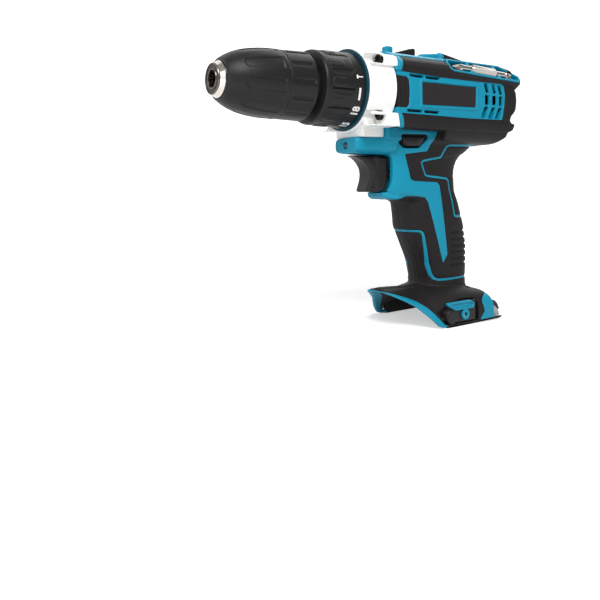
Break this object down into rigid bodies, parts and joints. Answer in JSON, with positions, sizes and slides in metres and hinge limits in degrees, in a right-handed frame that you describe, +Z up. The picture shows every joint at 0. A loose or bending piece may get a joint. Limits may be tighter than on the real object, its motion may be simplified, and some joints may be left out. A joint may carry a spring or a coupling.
{
  "type": "cordless drill",
  "caption": "Two-speed cordless hammer drill body with keyless chuck, torque collar, trigger, direction lever, bit tray and rail foot, without its battery.",
  "frame": {"origin": "centre of the chuck nose face, on the spindle axis", "axes": "+X out of the chuck along the spindle, +Y to the left side of the tool, +Z up away from the handle"},
  "size_m": [0.24, 0.072, 0.195],
  "materials": {
    "teal_shell": "matt moulded ABS",
    "soft_grip": "fine-textured soft overmould",
    "black_plastic": "matt moulded glass-filled nylon",
    "white_plastic": "satin moulded nylon",
    "chuck_steel": "polished chrome plate",
    "hardened_steel": "ground hardened steel",
    "gear_steel": "sintered steel",
    "spring_steel": "drawn wire",
    "screw_steel": "zinc plated steel",
    "die_cast": "die-cast",
    "can_steel": "plated steel can",
    "ferrite": "sintered ferrite",
    "copper": "enamelled copper on laminated steel",
    "brass": "turned brass",
    "carbon": "pressed carbon",
    "lens": "clear moulded lens",
    "board": "solder mask",
    "nameplate": "bare dark plate",
    "grey_rubber": "matt rubber",
    "insulation": "PVC insulation"
  },
  "bodies": {
    "housing": {"left_housing": "teal_shell", "right_housing": "teal_shell", "left_grip": "soft_grip", "right_grip": "soft_grip", "rear_cover": "black_plastic", "housing_screws": "screw_steel", "gear_housing": "white_plastic", "gear_housing_screws": "screw_steel", "index_ring": "teal_shell", "clutch_spring": "spring_steel", "clutch_washer": "screw_steel", "clutch_balls": "hardened_steel", "spindle_bearing": "hardened_steel", "output_ring_gear": "gear_steel", "motor_plate": "die_cast", "motor_can": "can_steel", "motor_magnets": "ferrite", "end_bell": "black_plastic", "brushes": "carbon", "trigger_spring": "spring_steel", "trigger_switch": "black_plastic", "led_lens": "lens", "led_board": "board", "nameplates": "nameplate", "bit_tray": "teal_shell", "terminal_block": "black_plastic", "terminals": "brass", "foot_bumper": "grey_rubber", "clip_bases": "black_plastic", "clip_inserts": "brass", "wires": "insulation"},
    "spindle": {"chuck_body": "chuck_steel", "rear_sleeve": "black_plastic", "chuck_screw": "screw_steel", "output_spindle": "hardened_steel"},
    "front_sleeve": {"front_sleeve": "black_plastic", "chuck_nut": "hardened_steel"},
    "jaw_1": {"jaw_1": "hardened_steel"},
    "jaw_2": {"jaw_2": "hardened_steel"},
    "jaw_3": {"jaw_3": "hardened_steel"},
    "torque_collar": {"torque_collar": "black_plastic"},
    "clutch_nut": {"clutch_nut": "die_cast"},
    "output_planet_1": {"output_planet_1": "gear_steel"},
    "output_planet_2": {"output_planet_2": "gear_steel"},
    "output_planet_3": {"output_planet_3": "gear_steel"},
    "input_carrier": {"input_carrier": "gear_steel"},
    "input_planet_1": {"input_planet_1": "gear_steel"},
    "input_planet_2": {"input_planet_2": "gear_steel"},
    "input_planet_3": {"input_planet_3": "gear_steel"},
    "rotor": {"rotor_shaft": "hardened_steel", "armature": "copper", "commutator": "copper", "motor_pinion": "gear_steel", "fan": "black_plastic"},
    "speed_selector": {"speed_selector": "black_plastic", "shift_link": "screw_steel", "shift_ring_gear": "gear_steel"},
    "trigger": {"trigger": "black_plastic"},
    "direction_lever": {"direction_lever": "black_plastic"},
    "driver_bit": {"driver_bit": "hardened_steel"}
  },
  "joints": [
    {"name": "spindle_spin", "type": "hinge", "parent": "housing", "child": "spindle", "pos_m": [-0.03, 0, 0], "axis": [1, 0, 0], "continuous": true},
    {"name": "sleeve_turn", "type": "hinge", "parent": "spindle", "child": "front_sleeve", "pos_m": [-0.03, 0, 0], "axis": [1, 0, 0], "range_deg": [-1590, 930]},
    {"name": "jaw_1_slide", "type": "slide", "parent": "spindle", "child": "jaw_1", "axis": [0.9681, 0.2168, -0.1252], "range_m": [-0.011, 0.0064]},
    {"name": "jaw_2_slide", "type": "slide", "parent": "spindle", "child": "jaw_2", "axis": [0.9681, 0, 0.2504], "range_m": [-0.011, 0.0064]},
    {"name": "jaw_3_slide", "type": "slide", "parent": "spindle", "child": "jaw_3", "axis": [0.9681, -0.2168, -0.1252], "range_m": [-0.011, 0.0064]},
    {"name": "collar_turn", "type": "hinge", "parent": "housing", "child": "torque_collar", "pos_m": [-0.08, 0, 0], "axis": [1, 0, 0], "range_deg": [0, 323]},
    {"name": "clutch_nut_slide", "type": "slide", "parent": "torque_collar", "child": "clutch_nut", "axis": [-1, 0, 0], "range_m": [0, 0.006], "deforming": ["clutch_spring"]},
    {"name": "output_planet_1_spin", "type": "hinge", "parent": "spindle", "child": "output_planet_1", "pos_m": [-0.11, 0, 0.01215], "axis": [1, 0, 0], "continuous": true},
    {"name": "output_planet_2_spin", "type": "hinge", "parent": "spindle", "child": "output_planet_2", "pos_m": [-0.11, -0.01052, -0.00607], "axis": [1, 0, 0], "continuous": true},
    {"name": "output_planet_3_spin", "type": "hinge", "parent": "spindle", "child": "output_planet_3", "pos_m": [-0.11, 0.01052, -0.00607], "axis": [1, 0, 0], "continuous": true},
    {"name": "input_carrier_spin", "type": "hinge", "parent": "housing", "child": "input_carrier", "pos_m": [-0.119, 0, 0], "axis": [1, 0, 0], "continuous": true},
    {"name": "input_planet_1_spin", "type": "hinge", "parent": "input_carrier", "child": "input_planet_1", "pos_m": [-0.127, 0, 0.01215], "axis": [1, 0, 0], "continuous": true},
    {"name": "input_planet_2_spin", "type": "hinge", "parent": "input_carrier", "child": "input_planet_2", "pos_m": [-0.127, -0.01052, -0.00607], "axis": [1, 0, 0], "continuous": true},
    {"name": "input_planet_3_spin", "type": "hinge", "parent": "input_carrier", "child": "input_planet_3", "pos_m": [-0.127, 0.01052, -0.00607], "axis": [1, 0, 0], "continuous": true},
    {"name": "rotor_spin", "type": "hinge", "parent": "housing", "child": "rotor", "pos_m": [-0.17, 0, 0], "axis": [1, 0, 0], "continuous": true},
    {"name": "selector_slide", "type": "slide", "parent": "housing", "child": "speed_selector", "axis": [-1, 0, 0], "range_m": [0, 0.004]},
    {"name": "trigger_pull", "type": "slide", "parent": "housing", "child": "trigger", "axis": [-1, 0, 0], "range_m": [0, 0.006], "stiffness_N_per_m": 600, "springref_m": -0.006, "deforming": ["trigger_spring"]},
    {"name": "direction_slide", "type": "slide", "parent": "housing", "child": "direction_lever", "axis": [0, 1, 0], "range_m": [-0.0035, 0.0035]},
    {"name": "bit_lift", "type": "slide", "parent": "housing", "child": "driver_bit", "axis": [0, 0.788, 0.6157], "range_m": [0, 0.02]}
  ],
  "couplings": [
    {"joint": "jaw_2_slide", "follows": "jaw_1_slide", "ratio": 1},
    {"joint": "jaw_3_slide", "follows": "jaw_1_slide", "ratio": 1},
    {"joint": "sleeve_turn", "follows": "jaw_1_slide", "rad_per_m": 2513.3},
    {"joint": "clutch_nut_slide", "follows": "collar_turn", "m_per_rad": 0.00106},
    {"joint": "output_planet_1_spin", "follows": "spindle_spin", "ratio": -2.8},
    {"joint": "output_planet_2_spin", "follows": "spindle_spin", "ratio": -2.8},
    {"joint": "output_planet_3_spin", "follows": "spindle_spin", "ratio": -2.8},
    {"joint": "input_carrier_spin", "follows": "spindle_spin", "ratio": 4.5},
    {"joint": "input_planet_1_spin", "follows": "spindle_spin", "ratio": -12.6},
    {"joint": "input_planet_2_spin", "follows": "spindle_spin", "ratio": -12.6},
    {"joint": "input_planet_3_spin", "follows": "spindle_spin", "ratio": -12.6},
    {"joint": "rotor_spin", "follows": "spindle_spin", "ratio": 20.25}
  ]
}
